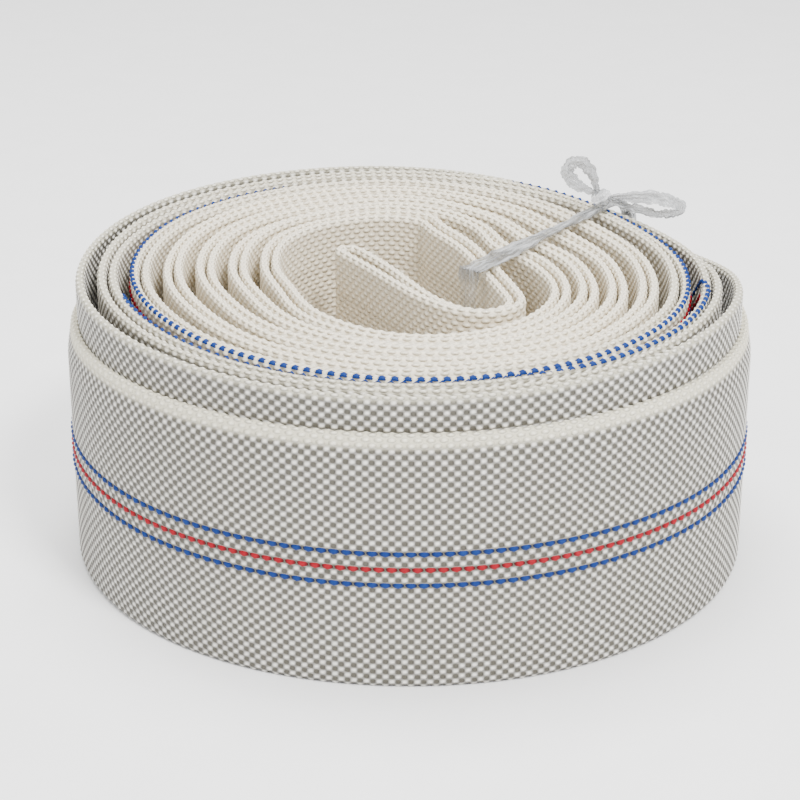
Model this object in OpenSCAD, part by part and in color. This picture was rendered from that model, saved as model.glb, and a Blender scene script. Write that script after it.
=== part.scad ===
// Lay-flat fire hose, folded double at its middle and rolled up from the fold.
// The roll stands on the lower edge of its outermost turn. Millimetres, +Z up, origin on the floor
// under the middle of the roll.

/* [Hose] */
// Width of the hose when it lies flat
flat_width = 106; // [104:0.5:108]
// Thickness of the flat hose, both walls together
hose_thickness = 3.8; // [3.4:0.1:4]
// Thickness of the woven jacket's wall
jacket_wall = 1.1; // [0.8:0.1:1.2]
// Gap between the jacket and the lining that lies in it
lining_gap = 0.05; // [0.02:0.01:0.1]

/* [Roll] */
// Height of the pack's upper edge at the front, above the floor
pack_height = 120.5; // [112:0.5:124]
// Slope of the pack's upper edge, rising towards the back
pack_slope = 0.036; // [0:0.002:0.04]
// How far the outer turns are pulled down at the tie
tie_sag = 18; // [0:1:18]
// Distance between the middles of the two layers of a pair
layer_spacing = 4.8; // [4.7:0.1:4.8]
// Radius of the bend where the hose is folded double
fold_radius = 5; // [4:0.5:6]

/* [Marker yarns] */
// Width of one marker yarn
yarn_width = 1.8; // [1.2:0.1:2.2]
// How far a marker yarn stands out of the jacket
yarn_height = 0.5; // [0.3:0.1:0.6]
// Distance between neighbouring marker yarns
yarn_spacing = 6.8; // [5:0.1:8]
// Height of the red yarn above the middle of the face, on most of the hose
stripe_rise = -2.5; // [-6:0.5:6]
// The same height where the stripes run along the upper fold, with the upper blue yarn on its crest
stripe_rise_at_fold = 45.8; // [38:0.1:46]

/* [Tie] */
// Width of the film band at the core, where it lies flat
band_width = 11; // [8:0.5:13]
// Width of the film band at the knot, where it is drawn together
band_width_at_knot = 6; // [5:0.5:8]
// Thickness of the gathered film
band_thickness = 0.8; // [0.6:0.1:1]
// Diameter of the knot
knot_d = 8; // [7:0.5:9]
// Width of the film in the two bow loops
loop_width = 7; // [6:0.5:8]

/* [Hidden] */

// The roll in plan. Azimuths run anticlockwise from +X, seen from above. From the outer end the hose
// winds clockwise and inwards, in pairs of layers: the outer layer of a pair leads to the outer end.
end_azimuth = 22;
azimuth_step = 15;
wound_turns = 2460 / 360;
roll_middle = [-1.28, 2.99];
// One value every 30 degrees, from azimuth -150 to 180
outer_radius = [153.6, 150.3, 148.2, 148.9, 151, 151.8, 149.9, 148.4, 149, 152, 155.5, 155.7];
pair_pitch = [13.7, 11.6, 9.9, 9.9, 11.7, 14.3, 15.8, 13.8, 11.8, 12.2, 13, 13.8];
// Where the middle of the innermost pair runs, from the last full turn to the fold
heart = [[15, 45], [26, 24], [34, 0], [42, -27], [45, -42], [40, -51], [31, -54], [20, -50],
    [8, -37], [-2, -20], [-12, -2], [-24, 17]];
heart_steps = 2;
// The outer layer comes up off the floor between these turns, counted from the outer end
climb_start = 0.62;
climb_turns = 0.3;
sag_azimuth = 34;
sag_spread = 34;
sag_layers = 3.2;

half_t = hose_thickness / 2;
half_w = flat_width / 2;
fold_chamfer = 1.4;

function smooth(x) = let (c = min(max(x, 0), 1)) c * c * (3 - 2 * c);
function unit(v) = v / norm(v);
function spline(a, b, c, d, u) =
    0.5 * (2 * b + (c - a) * u + (2 * a - 5 * b + 4 * c - d) * u * u + (3 * b - a - 3 * c + d) * u * u * u);
function around(values, az) =
    let (n = len(values), x = (az + 150) / 30 + 100 * n, i = floor(x))
    spline(values[(i - 1) % n], values[i % n], values[(i + 1) % n], values[(i + 2) % n], x - i);

// Middle of a pair of layers, a number of turns in from the outer end
function wound_point(turns) =
    let (az = end_azimuth - 360 * turns,
         r = around(outer_radius, az) - around(pair_pitch, az) * (turns + 0.5))
    roll_middle + r * [cos(az), sin(az)];

wound = [for (i = [0 : wound_turns * 360 / azimuth_step]) wound_point(i * azimuth_step / 360)];
heart_ends = concat([wound[len(wound) - 2], wound[len(wound) - 1]], [for (p = heart) p + roll_middle],
    [roll_middle + 2 * heart[len(heart) - 1] - heart[len(heart) - 2]]);
heart_path = [for (i = [1 : len(heart_ends) - 3], j = [1 : heart_steps])
    spline(heart_ends[i - 1], heart_ends[i], heart_ends[i + 1], heart_ends[i + 2], j / heart_steps)];
middle = concat(wound, heart_path);
last = len(middle) - 1;

function turns_at(i) = min(i, len(wound) - 1) * azimuth_step / 360;
function forward(i) = unit(middle[min(i + 1, last)] - middle[max(i - 1, 0)]);
function outward(i) = [-forward(i)[1], forward(i)[0]];
function spacing(i) = layer_spacing / 2
    + (fold_radius - layer_spacing / 2) * smooth((i - last + 8) / 8);

// Height of the upper edge. The first number of layers in is even for the outer layer of a pair.
function top_height(p, turns, layer) =
    let (layers_in = 2 * turns + layer,
         az = atan2(p[1] - roll_middle[1], p[0] - roll_middle[0]),
         sag = tie_sag * exp(-pow((az - sag_azimuth) / sag_spread, 2))
             * (1 - smooth((layers_in - 0.8) / sag_layers)),
         pack = pack_height + pack_slope * (p[1] - roll_middle[1] + 140) - sag,
         on_floor = layer == 0 ? 1 - smooth((turns - climb_start) / climb_turns) : 0)
    pack * (1 - on_floor) + flat_width * on_floor;

// How far the red yarn lies above the middle of the hose's outer face. It runs up to the fold and back.
function stripe_at(turns, layer) =
    let (up = layer == 0 ? smooth((turns - 1.75) / 0.14) - smooth((turns - 2.72) / 0.14)
                         : smooth((turns - 0.98) / 0.12) - smooth((turns - 1.5) / 0.12))
    stripe_rise + (stripe_rise_at_fold - stripe_rise) * up;

// Stations of the hose: place, direction of its outer face, height of its upper edge, height of the stripe
outer_leg = [for (i = [0 : last])
    let (p = middle[i] + outward(i) * spacing(i))
    [p, outward(i), top_height(middle[i], turns_at(i), 0), stripe_at(turns_at(i), 0)]];
fold_bend = [for (a = [30 : 30 : 150])
    let (d = cos(a) * outward(last) + sin(a) * forward(last))
    [middle[last] + d * spacing(last), d, top_height(middle[last], turns_at(last), 0), stripe_rise]];
inner_leg = [for (i = [last : -1 : 0])
    let (p = middle[i] - outward(i) * spacing(i))
    [p, -outward(i), top_height(middle[i], turns_at(i), 1), stripe_at(turns_at(i), 1)]];
hose = concat(outer_leg, fold_bend, inner_leg);

// A point of the hose's cross-section at a station: out from its middle, and up from its middle
function at_station(s, out, up) =
    [s[0][0] + s[1][0] * out, s[0][1] + s[1][1] * out, s[2] - half_w + up];

function ring_faces(rings, n, first = 0, flip = false) =
    [for (i = [0 : rings - 2], j = [0 : n - 1])
        let (a = first + i * n + j, b = first + i * n + (j + 1) % n)
        flip ? [a, b, b + n, a + n] : [a, a + n, b + n, b]];

// Solid with the same number of points in each cross-section
module sweep(sections) {
    n = len(sections[0]);
    count = len(sections);
    polyhedron([for (s = sections) each s],
        concat(ring_faces(count, n), [[for (j = [0 : n - 1]) j]],
            [[for (j = [n - 1 : -1 : 0]) (count - 1) * n + j]]), convexity = 10);
}

// Woven tube, pressed flat: eight points round the outside, four round the inside
module hose_jacket() {
    count = len(hose);
    tip = half_t - fold_chamfer / 2;
    shoulder = half_w - fold_chamfer;
    void_t = half_t - jacket_wall;
    void_w = half_w - 1.5 * jacket_wall;
    outside = [for (s = hose) each [
        at_station(s, half_t, shoulder), at_station(s, tip, half_w),
        at_station(s, -tip, half_w), at_station(s, -half_t, shoulder),
        at_station(s, -half_t, -shoulder), at_station(s, -tip, -half_w),
        at_station(s, tip, -half_w), at_station(s, half_t, -shoulder)]];
    inside = [for (s = hose) each [
        at_station(s, void_t, void_w), at_station(s, -void_t, void_w),
        at_station(s, -void_t, -void_w), at_station(s, void_t, -void_w)]];
    first_in = 8 * count;
    end_faces = [for (e = [0, 1], j = [0 : 3])
        let (o = e * 8 * (count - 1), q = first_in + e * 4 * (count - 1),
             a = o + 2 * j, b = a + 1, c = o + (2 * j + 2) % 8,
             k = q + j, m = q + (j + 1) % 4)
        each (e == 0 ? [[a, b, k], [b, c, m, k]] : [[k, b, a], [k, m, c, b]])];
    color("ivory")
        polyhedron(concat(outside, inside),
            concat(ring_faces(count, 8), ring_faces(count, 4, first_in, true), end_faces),
            convexity = 10);
}

// Rubber tube inside the jacket, pressed flat until its bore has closed
module hose_lining() {
    lining_t = half_t - jacket_wall - lining_gap;
    lining_w = half_w - 1.5 * jacket_wall - lining_gap;
    color("wheat")
        sweep([for (s = hose) [
            at_station(s, lining_t, lining_w), at_station(s, -lining_t, lining_w),
            at_station(s, -lining_t, -lining_w), at_station(s, lining_t, -lining_w)]]);
}

// One coloured warp yarn on the jacket's outer face, a given height above the red one. Above the start
// of the upper fold it goes round towards the crest.
module marker_yarn(rise) {
    yarn_clearance = 0.03;
    crest_clearance = 0.42;
    fold_start = half_w - half_t;
    sweep([for (s = hose)
        let (up = s[3] + rise,
             turn = min(max(up - fold_start, 0) * 180 / PI / half_t, 90),
             r = half_t + yarn_clearance + (crest_clearance - yarn_clearance) * smooth(turn / 30),
             low = min(up, fold_start),
             across = [-sin(turn), cos(turn)] * yarn_width / 2,
             base = [r * cos(turn), low + r * sin(turn)],
             peak = base + yarn_height * [cos(turn), sin(turn)])
        [at_station(s, base[0] - across[0], base[1] - across[1]),
         at_station(s, peak[0], peak[1]),
         at_station(s, base[0] + across[0], base[1] + across[1])]]);
}

module marker_yarn_blue_upper() { color("royalblue") marker_yarn(yarn_spacing); }
module marker_yarn_red() { color("firebrick") marker_yarn(0); }
module marker_yarn_blue_lower() { color("royalblue") marker_yarn(-yarn_spacing); }

// The tie's film band stands in an upright plane that runs out from the core, along band_azimuth.
// Its route in that plane is a closed loop: distance out from the core, and height.
band_core = [25.3, -11.5];
band_azimuth = 52.2;
band_out = 126.2;
band_route = [[0, 22], [0, 72], [0, 122], [3, 126.2], [20, 126.9], [50, 128.1], [90, 129.1],
    [115, 129.5], [119, 127.8], [122.5, 125], [125.2, 119.5], [band_out, 117], [band_out, 66],
    [band_out, 14], [124.6, 8], [117, 8], [111, 16], [105, 19], [50, 18], [5, 17], [0.8, 18.6]];
band_direction = [cos(band_azimuth), sin(band_azimuth)];
band_side = [-band_direction[1], band_direction[0]];
knot_on_route = [102, 129.35];
knot_l = 10;

module tie_band() {
    n = len(band_route);
    route = [for (i = [0 : n - 1])
        let (a = band_route[(i + n - 1) % n], p = band_route[i], b = band_route[(i + 1) % n],
             d = unit(b - a), across = [-d[1], d[0]] * band_thickness / 2,
             near_knot = smooth(1 - norm(p - knot_on_route) / 90),
             half = (band_width + (band_width_at_knot - band_width) * near_knot) / 2)
        for (c = [[1, 1], [-1, 1], [-1, -1], [1, -1]])
            let (q = p + across * c[0], xy = band_core + band_direction * q[0] + band_side * half * c[1])
            [xy[0], xy[1], q[1]]];
    faces = [for (i = [0 : n - 1], j = [0 : 3])
        let (a = 4 * i + j, b = 4 * i + (j + 1) % 4, m = 4 * n)
        [a, b, (b + 4) % m, (a + 4) % m]];
    color("lightgray") polyhedron(route, faces, convexity = 6);
}

module at_knot(turn, tilt) {
    xy = band_core + band_direction * knot_on_route[0];
    translate([xy[0], xy[1], knot_on_route[1] + band_thickness / 2 + knot_d / 2 + 0.1])
        rotate([0, 0, turn]) rotate([0, -tilt, 0]) children();
}

// Half hitch of gathered film: a barrel whose axis runs along the band
module tie_knot() {
    waist_r = knot_d / 2 - 0.7;
    end_r = knot_d / 4;
    color("gainsboro")
        at_knot(band_azimuth, 0)
        rotate([0, 90, 0])
        rotate_extrude($fn = 48)
        polygon([[0, -knot_l / 2], [end_r, -knot_l / 2], [waist_r, -knot_l / 3], [knot_d / 2, 0],
            [waist_r, knot_l / 3], [end_r, knot_l / 2], [0, knot_l / 2]]);
}

// Outline of a loop of film that starts beside the knot and swells towards its far end
function drop(length, width, inset) =
    [for (a = [20 : 20 : 340])
        let (x = inset + (length - 2 * inset) * (1 - cos(a)) / 2,
             swell = 0.5 + x / length)
        [knot_l / 2 + 1 + x, (width / 2 - inset) * sin(a) * swell]];

module bow_loop(length, width) {
    rotate([90, 0, 0])
        linear_extrude(loop_width, center = true)
        difference() {
            polygon(drop(length, width, 0));
            polygon(drop(length, width, band_thickness));
        }
}

module tie_loop_left() { color("gainsboro") at_knot(178, 48) bow_loop(16, 10); }
module tie_loop_right() { color("gainsboro") at_knot(-14, -4) bow_loop(31, 9); }

hose_jacket();
hose_lining();
marker_yarn_blue_upper();
marker_yarn_red();
marker_yarn_blue_lower();
tie_band();
tie_knot();
tie_loop_left();
tie_loop_right();
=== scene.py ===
"""Looks of the rolled fire hose: woven jacket, marker yarns, lining and film tie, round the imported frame.
Sizes are in millimetres, as in part.scad, and become metres where a mesh is made."""

import math

import bpy
import numpy as np
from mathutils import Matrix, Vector


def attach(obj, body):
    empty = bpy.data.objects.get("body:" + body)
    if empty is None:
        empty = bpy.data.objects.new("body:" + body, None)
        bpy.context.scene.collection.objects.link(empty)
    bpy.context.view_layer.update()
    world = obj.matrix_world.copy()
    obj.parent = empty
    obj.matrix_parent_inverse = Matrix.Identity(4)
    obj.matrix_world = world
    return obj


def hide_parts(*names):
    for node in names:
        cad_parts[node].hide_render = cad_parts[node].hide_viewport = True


MM = 0.001
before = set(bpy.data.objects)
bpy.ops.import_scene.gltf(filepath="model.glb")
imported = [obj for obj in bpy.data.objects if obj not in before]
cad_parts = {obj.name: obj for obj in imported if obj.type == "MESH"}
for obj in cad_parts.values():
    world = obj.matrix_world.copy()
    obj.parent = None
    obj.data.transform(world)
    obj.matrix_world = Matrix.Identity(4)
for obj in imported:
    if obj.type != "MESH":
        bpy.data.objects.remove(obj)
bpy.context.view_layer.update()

# ---------------------------------------------------------------- route of the hose, as in part.scad

FLAT_WIDTH = 106
THICKNESS = 3.8
JACKET_WALL = 1.1
PACK_HEIGHT = 120.5
PACK_SLOPE = 0.036
TIE_SAG = 18
LAYER_SPACING = 4.8
FOLD_RADIUS = 5
END_AZIMUTH = 22
WOUND_TURNS = 2460 / 360
ROLL_MIDDLE = np.array([-1.28, 2.99])
# One value to each 30 degrees round the roll, the first at -150
AZIMUTH_STEP = 30
FIRST_AZIMUTH = -150
OUTER_RADIUS = np.array([153.6, 150.3, 148.2, 148.9, 151, 151.8, 149.9, 148.4, 149, 152, 155.5, 155.7])
PAIR_PITCH = np.array([13.7, 11.6, 9.9, 9.9, 11.7, 14.3, 15.8, 13.8, 11.8, 12.2, 13, 13.8])
HEART = np.array([[15, 45], [26, 24], [34, 0], [42, -27], [45, -42], [40, -51], [31, -54], [20, -50],
                  [8, -37], [-2, -20], [-12, -2], [-24, 17]])
CLIMB_START = 0.62
CLIMB_TURNS = 0.3
SAG_AZIMUTH = 34
SAG_SPREAD = 34
SAG_STARTS = 0.8
SAG_LAYERS = 3.2
# The y, from the roll's middle, at which the pack's upper edge is PACK_HEIGHT up
PACK_FRONT = -140
STRIPE_RISE = -2.5
STRIPE_RISE_AT_FOLD = 45.8
YARN_SPACING = 6.8
YARN_WIDTH = 2.3
# The turns between which the stripes of each layer run along the upper fold, and the run of each change
LIFTED = ((1.75, 2.72, 0.14), (0.98, 1.5, 0.12))
# Waves of the rims: height, waves to a turn, and shift from layer to layer
RIM_WAVES = ((0.45, 1.37, 0.31), (0.3, 3.83, 0.57))
WOUND_POINTS = 4800
LAST_WOUND_STEP = 15 / 360
POINTS_TO_A_KNOT = 60
# Steps from knot to knot of the heart, and how many of them the layers take to open to the fold's width
STEPS_TO_A_KNOT = 2
OPENING_STEPS = 8
# Degrees round the bend at which the fold itself has its points
FOLD_BEND = np.radians(np.linspace(3, 177, 30))[:, None]


def smooth(x):
    c = np.clip(x, 0, 1)
    return c * c * (3 - 2 * c)


def unit(v):
    return v / np.linalg.norm(v, axis=-1, keepdims=True)


def spline(a, b, c, d, u):
    """Catmull-Rom curve from b to c."""
    return 0.5 * (2 * b + (c - a) * u + (2 * a - 5 * b + 4 * c - d) * u ** 2
                  + (3 * b - a - 3 * c + d) * u ** 3)


def around(values, azimuth):
    """Value at an azimuth, by a smooth curve through values given at even steps round the roll."""
    x = (azimuth - FIRST_AZIMUTH) / AZIMUTH_STEP
    i = np.floor(x).astype(int)
    n = len(values)
    return spline(values[(i - 1) % n], values[i % n], values[(i + 1) % n], values[(i + 2) % n], x - i)


def polar(azimuth):
    a = np.radians(azimuth)
    return np.stack([np.cos(a), np.sin(a)], axis=-1)


def wound_point(turns):
    """Middle of a pair of layers, a number of turns in from the outer end."""
    azimuth = END_AZIMUTH - 360 * turns
    radius = around(OUTER_RADIUS, azimuth) - around(PAIR_PITCH, azimuth) * (turns + 0.5)
    return ROLL_MIDDLE + radius[:, None] * polar(azimuth)


def middle_route():
    """Points down the middle of the pair of layers, with the turns run so far and how near the fold is."""
    turns = np.linspace(0, WOUND_TURNS, WOUND_POINTS)
    wound = wound_point(turns)
    last_wound = wound_point(np.array([WOUND_TURNS - LAST_WOUND_STEP, WOUND_TURNS]))
    knots = np.vstack([last_wound, HEART + ROLL_MIDDLE])
    knots = np.vstack([knots, 2 * knots[-1] - knots[-2]])
    u = np.linspace(0, 1, POINTS_TO_A_KNOT + 1)[1:, None]
    heart = np.vstack([spline(knots[i - 1], knots[i], knots[i + 1], knots[i + 2], u)
                       for i in range(1, len(knots) - 2)])
    steps_to_fold = np.linspace(STEPS_TO_A_KNOT * len(HEART), 0, len(heart) + 1)[1:]
    points = np.vstack([wound, heart])
    turns = np.concatenate([turns, np.full(len(heart), WOUND_TURNS)])
    opening = smooth((OPENING_STEPS - steps_to_fold) / OPENING_STEPS)
    near_fold = np.concatenate([np.zeros(len(wound)), opening])
    return points, turns, near_fold


def rim_wobble(turns, layer):
    """The turns were tapped down by hand, so no two rims are quite level."""
    return sum(height * np.sin(2 * math.pi * (to_a_turn * turns + shift * layer))
               for height, to_a_turn, shift in RIM_WAVES)


def top_height(p, turns, layer):
    """Height of the upper fold: level with the pack, or standing on the floor where the first turn does."""
    layers_in = 2 * turns + layer
    offset = p - ROLL_MIDDLE
    azimuth = np.degrees(np.arctan2(offset[:, 1], offset[:, 0]))
    sag = (TIE_SAG * np.exp(-((azimuth - SAG_AZIMUTH) / SAG_SPREAD) ** 2)
           * (1 - smooth((layers_in - SAG_STARTS) / SAG_LAYERS)))
    pack = PACK_HEIGHT + PACK_SLOPE * (offset[:, 1] - PACK_FRONT) - sag + rim_wobble(turns, layer)
    on_floor = (1 - smooth((turns - CLIMB_START) / CLIMB_TURNS)) * (layer == 0)
    return pack * (1 - on_floor) + FLAT_WIDTH * on_floor


def stripe_lift(turns, layer):
    """0 where the stripes run down the middle of the face, 1 where they run along the upper fold."""
    start, end, run = LIFTED[layer]
    return smooth((turns - start) / run) - smooth((turns - end) / run)


def hose_route(step):
    """The whole hose, from one end round the fold to the other, at even steps of its length."""
    points, turns, near_fold = middle_route()
    forward = unit(np.gradient(points, axis=0))
    outward = np.stack([-forward[:, 1], forward[:, 0]], axis=1)
    gap = LAYER_SPACING / 2 + (FOLD_RADIUS - LAYER_SPACING / 2) * near_fold
    bend_normal = np.cos(FOLD_BEND) * outward[-1] + np.sin(FOLD_BEND) * forward[-1]
    count = len(FOLD_BEND)
    place = np.vstack([points + outward * gap[:, None], points[-1] + bend_normal * gap[-1],
                       (points - outward * gap[:, None])[::-1]])
    normal = np.vstack([outward, bend_normal, -outward[::-1]])
    outer_top = top_height(points, turns, 0)
    inner_top = top_height(points, turns, 1)
    top = np.concatenate([outer_top, np.linspace(outer_top[-1], inner_top[-1], count), inner_top[::-1]])
    lift = np.concatenate([stripe_lift(turns, 0), np.zeros(count), stripe_lift(turns, 1)[::-1]])
    turned = np.concatenate([turns, np.full(count, turns[-1]), turns[::-1]])
    length = np.concatenate([[0], np.cumsum(np.linalg.norm(np.diff(place, axis=0), axis=1))])
    at = np.arange(0, length[-1], step)

    def resampled(values):
        if values.ndim == 1:
            return np.interp(at, length, values)
        return np.stack([np.interp(at, length, column) for column in values.T], axis=1)

    return {"length": at, "place": resampled(place), "normal": unit(resampled(normal)),
            "top": resampled(top), "lift": resampled(lift), "turns": resampled(turned)}


# ---------------------------------------------------------------- the weave

ROWS = 98
STRAIGHT = FLAT_WIDTH - THICKNESS
QUARTER = math.pi * THICKNESS / 4
GIRTH = 2 * STRAIGHT + 4 * QUARTER
ROW = GIRTH / ROWS
BEAD = 4.9
RELIEF = 0.55
# The share of the relief that lies below the tube's plain outline
RELIEF_BELOW = 0.6
# How quickly the relief falls off across its row
ROW_ROUNDNESS = 1.7


def section(girth):
    """Point of the flat tube's outline, and its outward direction, a distance round from the upper fold."""
    r = THICKNESS / 2
    v = np.mod(girth, GIRTH)
    over_top = v < QUARTER
    face = ~over_top & (v < QUARTER + STRAIGHT)
    under = (v >= QUARTER + STRAIGHT) & (v < 3 * QUARTER + STRAIGHT)
    back = (v >= 3 * QUARTER + STRAIGHT) & (v < 3 * QUARTER + 2 * STRAIGHT)
    turn = np.select([over_top, face, under, back],
                     [v / r, math.pi / 2, math.pi / 2 + (v - QUARTER - STRAIGHT) / r, 1.5 * math.pi],
                     1.5 * math.pi + (v - 3 * QUARTER - 2 * STRAIGHT) / r)
    along = np.select([over_top, face, under, back],
                      [STRAIGHT / 2, STRAIGHT / 2 - (v - QUARTER), -STRAIGHT / 2,
                       -STRAIGHT / 2 + v - 3 * QUARTER - STRAIGHT], STRAIGHT / 2)
    direction = np.stack([np.sin(turn), np.cos(turn)], axis=-1)
    return direction * r + np.stack([np.zeros_like(along), along], axis=-1), direction


def float_swell(length, row):
    """0 where a yarn dips under, 1 at the middle of its float. Each row is half a repeat out of step."""
    x = length / BEAD + 0.5 * np.mod(row, 2)
    return 0.5 - 0.5 * np.cos(2 * math.pi * x)


def bead_height(length, girth):
    """Relief of the weave, 0 to 1: round floats of yarn in rows."""
    row = np.floor(girth / ROW)
    y = girth / ROW - row - 0.5
    return float_swell(length, row) * (1 - (ROW_ROUNDNESS * y) ** 2)


# How far the upper edge leans in, how high above the tube's middle the lean starts, and over what height
SHOULDER_LEAN = 1.8
SHOULDER_UP = 38
SHOULDER_RUN = 15


def standing_alone(turns, length):
    """1 on the outermost turn, which stands on the floor, and 0 on the pack and on the inner layer."""
    return (1 - smooth((turns - CLIMB_START) / CLIMB_TURNS)) * (length < TOTAL / 2)


def lean(turns, length, up):
    """How far a point of the tube leans in: only the upper edge of the outermost turn does."""
    return SHOULDER_LEAN * standing_alone(turns, length) * smooth((up - SHOULDER_UP) / SHOULDER_RUN)


ROUTE = hose_route(BEAD / 4)
TOTAL = ROUTE["length"][-1]


def on_route(route, offset, up):
    """Points of the scene from offsets across and up from the tube's middle, a row of them to each ring of
    the route. The lean goes by up, the height on the tube's plain outline."""
    across = offset[:, :, 0] - lean(route["turns"][:, None], route["length"][:, None], up)
    xy = route["place"][:, None] + route["normal"][:, None] * across[:, :, None]
    z = route["top"][:, None] - FLAT_WIDTH / 2 + offset[:, :, 1]
    return np.concatenate([xy, z[:, :, None]], axis=2)


def hose_rings(rings, columns, scale=(1, 1), fine=None):
    """Points of the tube for those rings of the route and those distances round the section."""
    outline, direction = section(columns)
    outline = outline * np.array(scale)
    route = {key: value[rings] for key, value in ROUTE.items()}
    relief = np.zeros((len(rings), len(columns)))
    if fine is not None:
        relief = RELIEF * (bead_height(route["length"][:, None], columns[None, :]) - RELIEF_BELOW)
        relief = relief * fine[None, :]
    offset = outline[None] + relief[:, :, None] * direction[None]
    return on_route(route, offset, outline[None, :, 1])


# ---------------------------------------------------------------- meshes


UV_LAYER = "weave"


def grid_object(name, patches, material):
    """One object from patches of (points[rings, columns, 3] in mm, ring coordinate, column coordinate,
    whether the columns close up). A closed patch's last column coordinate is that of its first column."""
    points, quads, uvs, first = [], [], [], 0
    for rings, along, across, closed in patches:
        n, m = rings.shape[:2]
        columns = m if closed else m - 1
        i, j = np.meshgrid(np.arange(n - 1), np.arange(columns), indexing="ij")
        k = (j + 1) % m
        quad = np.stack([i * m + j, (i + 1) * m + j, (i + 1) * m + k, i * m + k], axis=-1)
        u = np.stack([along[i], along[i + 1], along[i + 1], along[i]], axis=-1)
        v = np.stack([across[j], across[j], across[j + 1], across[j + 1]], axis=-1)
        points.append(rings.reshape(-1, 3))
        quads.append(quad.reshape(-1, 4) + first)
        uvs.append(np.stack([u, v], axis=-1).reshape(-1, 2))
        first += n * m
    points, quads, uvs = np.vstack(points) * MM, np.vstack(quads), np.vstack(uvs) * MM
    mesh = bpy.data.meshes.new(name)
    mesh.vertices.add(len(points))
    mesh.vertices.foreach_set("co", points.astype(np.float32).ravel())
    mesh.loops.add(quads.size)
    mesh.loops.foreach_set("vertex_index", quads.astype(np.int32).ravel())
    mesh.polygons.add(len(quads))
    mesh.polygons.foreach_set("loop_start", np.arange(0, quads.size, 4, dtype=np.int32))
    mesh.polygons.foreach_set("use_smooth", np.ones(len(quads), dtype=bool))
    mesh.update(calc_edges=True)
    layer = mesh.uv_layers.new(name=UV_LAYER)
    layer.data.foreach_set("uv", uvs.astype(np.float32).ravel())
    mesh.materials.append(material)
    obj = bpy.data.objects.new(name, mesh)
    bpy.context.scene.collection.objects.link(obj)
    return obj


def point_values(obj, name, values):
    """A number at each point of the mesh, for its material to read."""
    attribute = obj.data.attributes.new(name, "FLOAT", "POINT")
    attribute.data.foreach_set("value", values.astype(np.float32))


# ---------------------------------------------------------------- materials


class Nodes:
    """Short forms for building a material's node tree."""

    def __init__(self, name):
        self.material = bpy.data.materials.new(name)
        self.material.use_nodes = True
        self.tree = self.material.node_tree
        self.shader = self.tree.nodes["Principled BSDF"]

    def set(self, **values):
        for key, value in values.items():
            self.shader.inputs[key.replace("_", " ")].default_value = value

    def link(self, source, target):
        self.tree.links.new(source, target)

    def math(self, operation, a, b=0.0):
        node = self.tree.nodes.new("ShaderNodeMath")
        node.operation = operation
        for socket, value in zip(node.inputs, (a, b)):
            if isinstance(value, (int, float)):
                socket.default_value = value
            else:
                self.link(value, socket)
        return node.outputs[0]

    def noise(self, vector, scale, detail=3.0, roughness=0.5):
        node = self.tree.nodes.new("ShaderNodeTexNoise")
        node.inputs["Scale"].default_value = scale
        node.inputs["Detail"].default_value = detail
        node.inputs["Roughness"].default_value = roughness
        self.link(vector, node.inputs["Vector"])
        return node.outputs["Fac"]

    def spread(self, value, low, high, to_low=0.0, to_high=1.0):
        """Smooth step of a value between two limits, from one number to another."""
        node = self.tree.nodes.new("ShaderNodeMapRange")
        node.interpolation_type = "SMOOTHSTEP"
        for key, number in (("From Min", low), ("From Max", high), ("To Min", to_low), ("To Max", to_high)):
            node.inputs[key].default_value = number
        self.link(value, node.inputs["Value"])
        return node.outputs["Result"]

    def mix(self, factor, a, b):
        node = self.tree.nodes.new("ShaderNodeMix")
        node.data_type = "RGBA"
        for socket, value in ((node.inputs[0], factor), (node.inputs[6], a), (node.inputs[7], b)):
            if isinstance(value, tuple):
                socket.default_value = (*value, 1)
            elif isinstance(value, (int, float)):
                socket.default_value = value
            else:
                self.link(value, socket)
        return node.outputs[2]

    def place(self):
        return self.tree.nodes.new("ShaderNodeTexCoord").outputs["Object"]

    def uv(self):
        node = self.tree.nodes.new("ShaderNodeUVMap")
        node.uv_map = UV_LAYER
        return node.outputs["UV"]

    def stretched(self, vector, scale):
        node = self.tree.nodes.new("ShaderNodeMapping")
        node.inputs["Scale"].default_value = scale
        self.link(vector, node.inputs["Vector"])
        return node.outputs["Vector"]

    def attribute(self, name):
        node = self.tree.nodes.new("ShaderNodeAttribute")
        node.attribute_name = name
        return node.outputs["Fac"]

    def bump(self, height, distance, strength):
        node = self.tree.nodes.new("ShaderNodeBump")
        node.inputs["Distance"].default_value = distance
        node.inputs["Strength"].default_value = strength
        self.link(height, node.inputs["Height"])
        self.link(node.outputs["Normal"], self.shader.inputs["Normal"])

    def colour(self, colour):
        self.link(colour, self.shader.inputs["Base Color"])


WHITE_YARN = (0.95, 0.92, 0.85)
CREAM_YARN = (0.95, 0.88, 0.71)
SOILED_YARN = (0.72, 0.68, 0.60)
# Painted highlight: the plain pale colour laid over the upper fold
CREST_PAINTED_HIGHLIGHT = (0.95, 0.89, 0.67)
# Painted shade: the dark colour of the gaps between the floats stands in for the shade that falls there
PAINTED_GAP_SHADE = (0.07, 0.063, 0.046)
TAN_GAP = (0.80, 0.70, 0.53)
BLUE_YARN = (0.005, 0.03, 0.175)
WORN_BLUE = (0.01, 0.055, 0.24)
RED_YARN = (0.31, 0.004, 0.014)
WORN_RED = (0.36, 0.015, 0.03)
TAN_RUBBER = (0.47, 0.34, 0.19)
TALC = (0.66, 0.56, 0.42)
CLEAR_FILM = (0.13, 0.135, 0.14)
MILKY_FILM = (0.66, 0.67, 0.68)
CLOUDY_FILM = (0.42, 0.43, 0.44)
FLOOR_DARKEST = (0.95, 0.95, 0.95)
FLOOR_PALEST = (0.97, 0.97, 0.97)
# How quickly a float's gloss and bump fall off across its row and along it
FLOAT_ACROSS = 1.85
FLOAT_ALONG = 2.6
# How far the crest's painted highlight hides the weave's pattern, and how clear the film is inside the core
CREST_HIGHLIGHT_COVER = 0.7
CORE_CLEARNESS = 0.75


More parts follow.
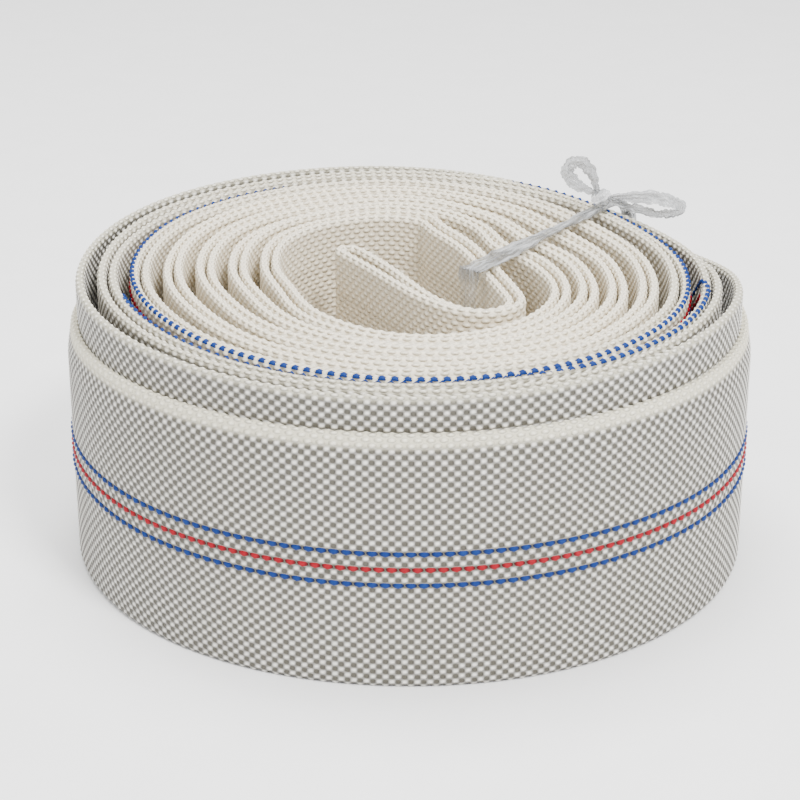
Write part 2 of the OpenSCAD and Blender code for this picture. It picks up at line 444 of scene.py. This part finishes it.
def jacket_material():
    """Woven polyester: glossy floats of yarn over gaps darkened with painted shade, creamier in the middle of
    the roll, with a painted highlight along the upper fold.
    """
    n = Nodes("woven_jacket")
    uv = n.uv()
    split = n.tree.nodes.new("ShaderNodeSeparateXYZ")
    n.link(uv, split.inputs[0])
    rows = n.math("DIVIDE", split.outputs["Y"], ROW * MM)
    row = n.math("FLOOR", rows)
    y = n.math("SUBTRACT", n.math("SUBTRACT", rows, row), 0.5)
    shift = n.math("MULTIPLY", n.math("FLOORED_MODULO", row, 2.0), 0.5)
    repeats = n.math("ADD", n.math("DIVIDE", split.outputs["X"], BEAD * MM), shift)
    x = n.math("SUBTRACT", n.math("FRACT", repeats), 0.5)
    across = n.math("POWER", n.math("MULTIPLY", y, FLOAT_ACROSS), 2.0)
    along = n.math("POWER", n.math("MULTIPLY", n.math("ABSOLUTE", x), FLOAT_ALONG), 2.0)
    float_height = n.math("MAXIMUM", n.math("SUBTRACT", 1.0, n.math("ADD", across, along)), 0.0)
    # The colour follows a softer pattern: 1 at the middle of a float, -1 in the gaps beside it. It paints
    # shade that deepens from a float's middle into the gaps.
    painted_shade_ripple = n.math("MULTIPLY", n.math("COSINE", n.math("MULTIPLY", x, 2 * math.pi)),
                     n.math("COSINE", n.math("MULTIPLY", y, math.pi)))
    fibres = n.noise(n.stretched(uv, (900, 2600, 1)), 1.0, 2.0)
    height = n.math("ADD", float_height, n.math("MULTIPLY", fibres, 0.15))

    soil = n.noise(n.place(), 14.0, 4.0, 0.6)
    cream = n.attribute("inside")
    crest = n.math("MULTIPLY", n.attribute("crest"), CREST_HIGHLIGHT_COVER)
    bead = n.mix(cream, WHITE_YARN, CREAM_YARN)
    gap = n.mix(cream, PAINTED_GAP_SHADE, TAN_GAP)
    bead = n.mix(n.spread(soil, 0.35, 0.75, 0.0, 0.3), bead, SOILED_YARN)
    bead = n.mix(n.spread(fibres, 0.3, 0.7, 0.0, 0.14), bead, gap)
    # Painted shade: the gap colour fills the gaps between the floats, where shade falls
    woven = n.mix(n.spread(painted_shade_ripple, -0.5, 1.0), gap, bead)
    # Painted highlight: over the upper fold a plain pale colour covers the weave's pattern
    n.colour(n.mix(crest, woven, n.mix(cream, CREST_PAINTED_HIGHLIGHT, CREAM_YARN)))
    n.link(n.spread(float_height, 0.3, 0.95, 0.65, 0.2), n.shader.inputs["Roughness"])
    n.set(Sheen_Weight=0.1, Sheen_Roughness=0.4, Specular_IOR_Level=0.6)
    n.bump(height, 0.0011, 1.0)
    return n.material


def yarn_material(name, colour, worn):
    """Dyed marker yarn: twisted fibres, paler where it has rubbed, with painted shade where it dips into the
    weave.
    """
    # The darkest copy of the colour is painted shade, for where the yarn dips between its floats
    shaded, painted_dip_shade = [tuple(share * c for c in colour) for share in (0.6, 0.15)]
    n = Nodes(name)
    uv = n.uv()
    fibres = n.noise(n.stretched(uv, (500, 4000, 1)), 1.0, 2.0)
    rubbed = n.noise(n.place(), 90.0, 3.0)
    shade = n.mix(n.spread(fibres, 0.3, 0.7, 0.0, 0.5), colour, shaded)
    shade = n.mix(n.spread(rubbed, 0.45, 0.75, 0.0, 0.3), shade, worn)
    # Painted shade: the yarn turns dark where it dips between its floats
    n.colour(n.mix(n.spread(n.attribute("swell"), 0.1, 0.75), painted_dip_shade, shade))
    n.set(Roughness=0.55, Specular_IOR_Level=0.15)
    n.bump(fibres, 0.0002, 0.6)
    return n.material


def lining_material():
    """Tan rubber with a dusting of talc."""
    n = Nodes("tan_rubber")
    place = n.place()
    talc = n.noise(place, 60.0, 5.0, 0.65)
    n.colour(n.mix(n.spread(talc, 0.4, 0.7, 0.0, 0.6), TAN_RUBBER, TALC))
    n.link(n.spread(talc, 0.3, 0.7, 0.45, 0.75), n.shader.inputs["Roughness"])
    n.bump(n.noise(place, 900.0, 2.0), 0.0002, 0.5)
    return n.material


def film_material():
    """Thin gathered film: clear and milky in streaks along its pleats, nearly clear inside the core."""
    n = Nodes("gathered_film")
    uv = n.uv()
    streaks = n.noise(n.stretched(uv, (60, 900, 1)), 1.0, 4.0, 0.6)
    cloud = n.noise(n.place(), 220.0, 4.0, 0.6)
    milky = n.mix(n.spread(streaks, 0.35, 0.7), CLEAR_FILM, MILKY_FILM)
    n.colour(n.mix(n.spread(cloud, 0.4, 0.75, 0.0, 0.5), milky, CLOUDY_FILM))
    clear = n.math("SUBTRACT", 1.0, n.math("MULTIPLY", n.attribute("clear"), CORE_CLEARNESS))
    n.link(n.math("MULTIPLY", n.spread(streaks, 0.3, 0.7, 0.35, 0.88), clear), n.shader.inputs["Alpha"])
    n.link(n.spread(cloud, 0.3, 0.7, 0.16, 0.4), n.shader.inputs["Roughness"])
    n.set(Transmission_Weight=0.25, IOR=1.45, Specular_IOR_Level=0.9)
    n.bump(n.math("ADD", streaks, cloud), 0.0004, 0.7)
    return n.material


def floor_material():
    """Matt pale board."""
    n = Nodes("pale_floor")
    grain = n.noise(n.place(), 30.0, 3.0)
    n.colour(n.mix(n.spread(grain, 0.3, 0.7), FLOOR_DARKEST, FLOOR_PALEST))
    n.set(Roughness=0.7)
    return n.material


# ---------------------------------------------------------------- jacket, lining and marker yarns

HALF_ROW = ROW / 2
# Columns of the mesh, counted in half rows from the upper fold: first and last fine one, and the coarse
# step. The weave is meshed on the outermost face and, from FACE_HIDDEN turns in, about the upper fold only
FACE_COLUMNS = (-16, 98, 6)
RIM_COLUMNS = (-16, 18, 8)
LINING_COLUMNS = (-4, 4, 8)
FACE_HIDDEN = 1.06
# Turns in at which the weave starts to be creamier, and the turns over which it grows so
CREAM_FROM = 0.6
CREAM_OVER = 3.2
# How far the painted highlight reaches round from the crest, how much further on the first turn, the
# distance over which it fades, and the share of that highlight on the other turns
CREST_REACH = 4.5
FIRST_TURN_REACH = 3.5
CREST_FADE = 3
CREST_SHARE = 0.6
# How many rings the turned-in hem reaches into the tube
HEM_RINGS = 10
RINGS_TO_A_LINING_RING = 4
# Scale of the section, across and up, for the lining and for the slit of its bore
LINING_SCALE = (0.38, 0.965)
BORE_SCALE = (0.1, 0.92)
# On the inner layer the fold has rolled one row further round the tube as far as this turn
OVER_CREST_UNTIL = 1.21
OVER_CREST_RUN = 0.06
# How deep a marker yarn dips between its floats, and how much deeper where it runs along the fold
YARN_SUNK = 0.55
YARN_SUNK_ON_FOLD = 0.55
YARN_COLUMNS = 7


def girth_columns(fine_from, fine_to, coarse_step):
    """Half-row steps round the section, finely spaced between two limits, and which of them are fine."""
    steps = list(range(fine_from, fine_to + 1))
    steps += list(range(fine_to + coarse_step, 2 * ROWS + fine_from - coarse_step // 2, coarse_step))
    steps = np.array(steps)
    fine = (steps <= fine_to).astype(float)
    return steps * HALF_ROW, fine, np.append(steps, steps[0] + 2 * ROWS) * HALF_ROW


def crest_highlight_mask(rings, columns):
    """1 where a painted highlight covers the weave over the upper fold, which reaches further down the first
    turn.
    """
    alone = standing_alone(ROUTE["turns"][rings], ROUTE["length"][rings])[:, None]
    reach = CREST_REACH + FIRST_TURN_REACH * alone
    distance = np.abs(np.mod(columns + GIRTH / 2, GIRTH) - GIRTH / 2)[None, :]
    return smooth((reach - distance) / CREST_FADE) * (CREST_SHARE + (1 - CREST_SHARE) * alone)


def hose_jacket():
    """The woven tube, with the weave in relief where it shows, and a hem turned in at each end."""
    face_rings = int(np.argmax(ROUTE["turns"] > FACE_HIDDEN))
    count = len(ROUTE["length"])
    patches, inside, crest = [], [], []
    for rings, limits in ((np.arange(0, face_rings + 1), FACE_COLUMNS),
                          (np.arange(face_rings, count), RIM_COLUMNS)):
        columns, fine, across = girth_columns(*limits)
        points = hose_rings(rings, columns, fine=fine)
        patches.append((points, ROUTE["length"][rings], across, True))
        depth = smooth((ROUTE["turns"][rings] - CREAM_FROM) / CREAM_OVER)
        inside.append(np.repeat(depth, len(columns)))
        # The crest values mask the painted highlight over the upper fold
        crest.append(crest_highlight_mask(rings, columns).ravel())
    wall = (1 - 2 * JACKET_WALL / THICKNESS, 1 - 3 * JACKET_WALL / FLAT_WIDTH)
    columns, _, across = girth_columns(*FACE_COLUMNS)
    last = count - 1
    for at_start, rings in ((True, [HEM_RINGS, 0, 0]), (False, [last, last, last - HEM_RINGS])):
        outer = hose_rings(rings, columns, fine=np.ones(len(columns)))
        inner = hose_rings(rings, columns, scale=wall)
        hem = np.stack([inner[0], inner[1], outer[2]] if at_start else [outer[0], inner[1], inner[2]])
        patches.append((hem, ROUTE["length"][rings], across, True))
        for values in (inside, crest):
            values.append(np.zeros(hem.shape[0] * hem.shape[1]))
    obj = grid_object("jacket", patches, jacket_material())
    point_values(obj, "inside", np.concatenate(inside))
    point_values(obj, "crest", np.concatenate(crest))
    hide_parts("hose_jacket")
    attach(obj, "root")


def hose_lining():
    """Flattened rubber tube, with the slit of its closed bore at each end."""
    columns, _, across = girth_columns(*LINING_COLUMNS)
    count = len(ROUTE["length"])
    rings = np.unique(np.append(np.arange(0, count, RINGS_TO_A_LINING_RING), count - 1))
    tube = hose_rings(rings, columns, scale=LINING_SCALE)
    slit = hose_rings(rings[[0, 1, -2, -1]], columns, scale=BORE_SCALE)
    tube = np.concatenate([slit[1:2], slit[0:1], tube, slit[3:4], slit[2:3]])
    along = ROUTE["length"][rings]
    along = np.concatenate([along[[1, 0]], along, along[[-1, -2]]])
    obj = grid_object("lining", [(tube, along, across, True)], lining_material())
    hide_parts("hose_lining")
    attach(obj, "root")


def nearest_row(up):
    """Middle of the nearest row of the weave, as a distance round from the crest, at a height on the face."""
    return (np.floor((QUARTER + STRAIGHT / 2 - up) / ROW) + 0.5) * ROW


def marker_yarn(name, node, rise, material):
    """One dyed warp yarn, which shows as a row of floats between the weft yarns."""
    low, high = [nearest_row(level + rise) for level in (STRIPE_RISE, STRIPE_RISE_AT_FOLD)]
    inner_layer = ROUTE["length"] > TOTAL / 2
    over = inner_layer * (1 - smooth((ROUTE["turns"] - OVER_CREST_UNTIL) / OVER_CREST_RUN))
    girth = low + (high - ROW * over - low) * ROUTE["lift"]
    row = np.floor(np.where(ROUTE["lift"] > 0.5, high - ROW * np.round(over), low) / ROW)
    swell = float_swell(ROUTE["length"], row)
    across = np.linspace(-1, 1, YARN_COLUMNS)
    crown = np.sqrt(1 - (0.97 * across) ** 2)
    outline, direction = section(girth)
    along = np.stack([direction[:, 1], -direction[:, 0]], axis=1)
    # A float grows from its dips to its middle, in height and in width
    sunk = YARN_SUNK + YARN_SUNK_ON_FOLD * ROUTE["lift"][:, None]
    proud = crown[None, :] * (0.25 + 0.7 * swell[:, None]) - 0.1 - sunk * (1 - swell[:, None])
    width = YARN_WIDTH / 2 * (0.7 + 0.3 * swell)
    offset = (outline[:, None] + direction[:, None] * proud[:, :, None]
              + along[:, None] * (across[None, :] * width[:, None])[:, :, None])
    points = on_route(ROUTE, offset, outline[:, 1:])
    obj = grid_object(name, [(points, ROUTE["length"], across * YARN_WIDTH, False)], material)
    point_values(obj, "swell", np.repeat(swell, len(across)))
    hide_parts(node)
    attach(obj, "root")


hose_jacket()
hose_lining()
BLUE = yarn_material("blue_yarn", BLUE_YARN, WORN_BLUE)
RED = yarn_material("red_yarn", RED_YARN, WORN_RED)
marker_yarn("blue_yarn_upper", "marker_yarn_blue_upper", YARN_SPACING, BLUE)
marker_yarn("red_yarn", "marker_yarn_red", 0, RED)
marker_yarn("blue_yarn_lower", "marker_yarn_blue_lower", -YARN_SPACING, BLUE)

# ---------------------------------------------------------------- tie of gathered film

BAND_CORE = np.array([25.3, -11.5])
BAND_AZIMUTH = 52.2
BAND_OUT = 126.2
BAND_ROUTE = np.array([[0, 22], [0, 72], [0, 122], [3, 126.2], [20, 126.9], [50, 128.1], [90, 129.1],
                       [115, 129.5], [119, 127.8], [122.5, 125], [125.2, 119.5], [BAND_OUT, 117],
                       [BAND_OUT, 66], [BAND_OUT, 14], [124.6, 8], [117, 8], [111, 16], [105, 19],
                       [50, 18], [5, 17], [0.8, 18.6]])
BAND_WIDTH = 11
BAND_WIDTH_AT_KNOT = 6
BAND_WIDTH_IN_CORE = 8
BAND_THICKNESS = 0.8
BAND_POINTS_TO_A_KNOT = 16
# The band is drawn together over this length of it to either side of the bow's knot
GATHERED_OVER = 90
# Where the band is inside the core: below this height, over this run, and this near the route's start
CORE_RIM = 126
CORE_RIM_RUN = 8
CORE_REACH = 5
KNOT_ON_ROUTE = np.array([102, 129.35])
KNOT_L = 10
KNOT_D = 8
LOOP_WIDTH = 7
LOOP_POINTS = 96
# The loop's middle line starts this far inside the knot, so it is longer than part.scad's loop by the
# second number, and it lies inside that loop's height by the third
LOOP_STARTS = 1
LOOP_EXTRA_LENGTH = 1
LOOP_INSET = 1.2
# Degrees by which the film of a loop turns from the loop's own axis, so that it opens like a cone
LOOP_FLARE = 54
LOOP_FLARE_SWING = 16
FILM_COLUMNS = 33
FILM_THICKNESS = 0.12
PLEAT_DEPTH = 0.6
PLEAT_WAVES = range(1, 5)
PLEAT_WANDER = 0.9
CREASE_WAVES = (23, 41, 67)
CREASE_DEPTH = 0.3
# Waves of the strip's width: share of it, and waves along the whole strip
EDGE_WAVES = ((0.12, 9), (0.07, 31))
ANY_PHASE = (0, 6.3)
KNOT_RINGS = 33
KNOT_COLUMNS = 72
BAND_DIRECTION = polar(np.array(BAND_AZIMUTH))
BAND_SIDE = np.array([-BAND_DIRECTION[1], BAND_DIRECTION[0], 0])
KNOT = np.append(BAND_CORE + BAND_DIRECTION * KNOT_ON_ROUTE[0],
                 KNOT_ON_ROUTE[1] + BAND_THICKNESS / 2 + KNOT_D / 2 + 0.1)


def closed_curve(points, to_a_knot):
    """A smooth closed curve through points."""
    n = len(points)
    u = np.linspace(0, 1, to_a_knot, endpoint=False)[:, None]
    return np.vstack([spline(points[i - 1], points[i], points[(i + 1) % n], points[(i + 2) % n], u)
                      for i in range(n)])


def film_strip(name, node, route, side, flare, width, pleats, seed, material):
    """A strip of gathered film along a closed route: lengthwise pleats that wander, with cross creases.
    Flare is the angle by which the strip is turned about its route. Gives the piece and its flat size."""
    rng = np.random.default_rng(seed)
    tangent = unit(np.roll(route, -1, axis=0) - np.roll(route, 1, axis=0))
    normal = unit(np.cross(tangent, side))
    side = np.cos(flare)[:, None] * side + np.sin(flare)[:, None] * normal
    normal = unit(np.cross(tangent, side))
    along = np.concatenate([[0], np.cumsum(np.linalg.norm(np.diff(route, axis=0), axis=1))])
    total = along[-1] + np.linalg.norm(route[0] - route[-1])
    w = np.linspace(-0.5, 0.5, FILM_COLUMNS)
    turn = 2 * math.pi * along[:, None] / total
    offset = np.zeros((len(route), len(w)))
    for k in PLEAT_WAVES:
        wander = PLEAT_WANDER * np.sin((2 + 3 * k) * turn + rng.uniform(*ANY_PHASE))
        offset += np.sin(2 * math.pi * pleats * k / 2 * w + wander + rng.uniform(*ANY_PHASE)) / k
    for k in CREASE_WAVES:
        offset += CREASE_DEPTH * np.sin(k * turn + 5 * w * rng.uniform(-1, 1) + rng.uniform(*ANY_PHASE))
    edge = 1
    for share, waves in EDGE_WAVES:
        edge = edge + share * np.sin(waves * turn[:, 0] + rng.uniform(*ANY_PHASE))
    across = side[:, None] * (w[None, :, None] * (width * edge)[:, None, None])
    points = route[:, None] + across + normal[:, None] * (offset * PLEAT_DEPTH)[:, :, None]
    points = np.concatenate([points, points[:1]])
    along = np.append(along, total)
    obj = grid_object(name, [(points, along, w * width.mean(), False)], material)
    skin = obj.modifiers.new("film", "SOLIDIFY")
    skin.thickness = FILM_THICKNESS * MM
    skin.offset = 0
    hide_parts(node)
    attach(obj, "root")
    girth = np.linalg.norm(np.diff(points, axis=1), axis=2).sum(axis=1).mean()
    return obj, (girth * MM, total * MM)


def tie_band(material):
    """The film's run through the core, over the pack, down its outside and back under it."""
    route = closed_curve(BAND_ROUTE, BAND_POINTS_TO_A_KNOT)
    gathered = smooth(1 - np.linalg.norm(route - KNOT_ON_ROUTE, axis=1) / GATHERED_OVER)
    width = BAND_WIDTH + (BAND_WIDTH_AT_KNOT - BAND_WIDTH) * gathered
    in_core = smooth((CORE_RIM - route[:, 1]) / CORE_RIM_RUN) * (route[:, 0] < CORE_REACH)
    width = width + (BAND_WIDTH_IN_CORE - width) * in_core
    xy = BAND_CORE + BAND_DIRECTION * route[:, :1]
    points = np.concatenate([xy, route[:, 1:]], axis=1)
    flare = np.zeros(len(points))
    band, flat = film_strip("film_band", "tie_band", points, BAND_SIDE, flare, width,
                            pleats=3, seed=3, material=material)
    point_values(band, "clear", np.repeat(np.append(in_core, in_core[0]), FILM_COLUMNS))
    return band, flat


def at_knot(points, turn, tilt):
    """Turns points made along +X of the knot up by tilt and then round the upright axis, as in part.scad."""
    t, a = math.radians(tilt), math.radians(turn)
    x = points[..., 0] * math.cos(t) - points[..., 2] * math.sin(t)
    z = points[..., 0] * math.sin(t) + points[..., 2] * math.cos(t)
    y = points[..., 1]
    return KNOT + np.stack([x * math.cos(a) - y * math.sin(a), x * math.sin(a) + y * math.cos(a), z], axis=-1)


def bow_loop(name, node, turn, tilt, length, width, seed, material):
    """A loop of the film that leaves the knot, swells and comes back to it."""
    a = np.radians(np.linspace(0, 360, LOOP_POINTS + 1)[:-1])
    x = (length + LOOP_EXTRA_LENGTH) * (1 - np.cos(a)) / 2
    z = (width / 2 - LOOP_INSET) * np.sin(a) * (0.5 + x / length)
    route = np.stack([KNOT_L / 2 - LOOP_STARTS + x, 0 * x, z], axis=1)
    route = at_knot(route, turn, tilt)
    side = at_knot(np.array([0, 1.0, 0]), turn, tilt) - KNOT
    strip_width = LOOP_WIDTH * (0.45 + 0.5 * smooth(x / length * 1.6))
    flare = np.radians(LOOP_FLARE + LOOP_FLARE_SWING * np.sin(a + seed))
    return film_strip(name, node, route, side, flare, strip_width, pleats=2, seed=seed, material=material)


def tie_knot(material):
    """Half hitch of the gathered film: pleats run in at the waist and fan out at both ends."""
    t = np.linspace(-1, 1, KNOT_RINGS)
    a = np.radians(np.linspace(0, 360, KNOT_COLUMNS + 1)[:-1])
    radius = KNOT_D / 2 * (0.55 + 0.42 * np.cos(t * math.pi / 2) ** 0.8 - 0.25 * np.exp(-(t / 0.14) ** 2))
    pleat = 1 + 0.10 * np.sin(9 * a[None, :] + 2.4 * t[:, None])
    pleat = pleat + 0.05 * np.sin(17 * a[None, :] - 4 * t[:, None])
    r = radius[:, None] * pleat
    x = np.repeat(t[:, None] * KNOT_L / 2, len(a), axis=1)
    points = np.stack([x, r * np.cos(a), r * np.sin(a)], axis=-1)
    points = at_knot(points, BAND_AZIMUTH, 0)
    across = np.arange(len(a) + 1) * KNOT_D * math.pi / len(a)
    obj = grid_object("film_knot", [(points, t * KNOT_L / 2, across, True)], material)
    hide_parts("tie_knot")
    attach(obj, "root")
    return obj


FILM = film_material()
band, band_flat = tie_band(FILM)
knot = tie_knot(FILM)
left_loop, _ = bow_loop("film_loop_left", "tie_loop_left", turn=178, tilt=48, length=16, width=10,
                        seed=5, material=FILM)
right_loop, _ = bow_loop("film_loop_right", "tie_loop_right", turn=-14, tilt=-4, length=31, width=9,
                         seed=8, material=FILM)

# ---------------------------------------------------------------- floor, lights and camera


def plane(name, size, height, material):
    """Level square in metres."""
    mesh = bpy.data.meshes.new(name)
    s = size / 2
    mesh.from_pydata([(-s, -s, height), (s, -s, height), (s, s, height), (-s, s, height)], [], [(0, 1, 2, 3)])
    mesh.materials.append(material)
    obj = bpy.data.objects.new(name, mesh)
    bpy.context.scene.collection.objects.link(obj)
    return obj


LIGHT_TARGET = Vector((0, 0, 0.06))


def soft_light(name, place, size, watts):
    """Square lamp that faces the middle of the roll."""
    light = bpy.data.lights.new(name, "AREA")
    light.size = size
    light.energy = watts
    obj = bpy.data.objects.new(name, light)
    obj.location = place
    obj.rotation_euler = (LIGHT_TARGET - Vector(place)).to_track_quat("-Z", "Y").to_euler()
    bpy.context.scene.collection.objects.link(obj)


floor = plane("floor", size=14, height=-0.0002, material=floor_material())
soft_light("key", (0.6, -1.0, 1.6), size=0.4, watts=48)
soft_light("fill", (-1.1, -1.1, 0.9), size=0.8, watts=2)
soft_light("top", (-0.1, 0.3, 1.7), size=0.8, watts=36)

world = bpy.data.worlds.new("studio")
world.use_nodes = True
background = world.node_tree.nodes["Background"]
background.inputs["Color"].default_value = (1, 1, 1, 1)
background.inputs["Strength"].default_value = 1.35
bpy.context.scene.world = world

CAMERA_PLACE = (-0.0038, -0.8842, 0.4255)
CAMERA_LOOKS_DOWN = 22.3
camera = bpy.data.cameras.new("camera")
camera.sensor_width = 36
camera.lens = 98.2
camera.clip_end = 50
camera_object = bpy.data.objects.new("camera", camera)
camera_object.location = CAMERA_PLACE
camera_object.rotation_euler = (math.radians(90 - CAMERA_LOOKS_DOWN), 0, 0)
bpy.context.scene.collection.objects.link(camera_object)
bpy.context.scene.camera = camera_object
